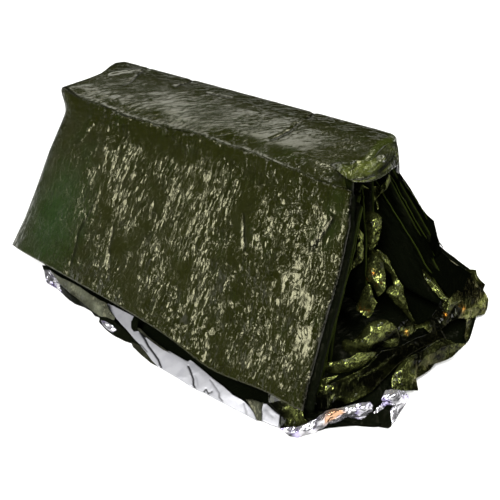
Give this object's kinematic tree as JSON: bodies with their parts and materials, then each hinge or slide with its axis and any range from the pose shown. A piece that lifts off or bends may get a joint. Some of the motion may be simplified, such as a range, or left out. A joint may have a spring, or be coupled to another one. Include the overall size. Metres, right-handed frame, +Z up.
{
  "type": "folded emergency foil blanket",
  "caption": "Thin metallised emergency blanket folded back and forth into a bundle, standing on its edges with one end fanned out and a hem turned out along the floor.",
  "frame": {"origin": "centre of the bounding box on the floor plane, under the bundle", "axes": "+X along the folds towards the fanned end, -Y towards the front face and the turned-out hem, +Z up"},
  "size_m": [0.1958, 0.1502, 0.0594],
  "materials": {
    "olive_film": "glossy, finely creased"
  },
  "bodies": {
    "root": {"foil_blanket": "olive_film"}
  },
  "joints": []
}
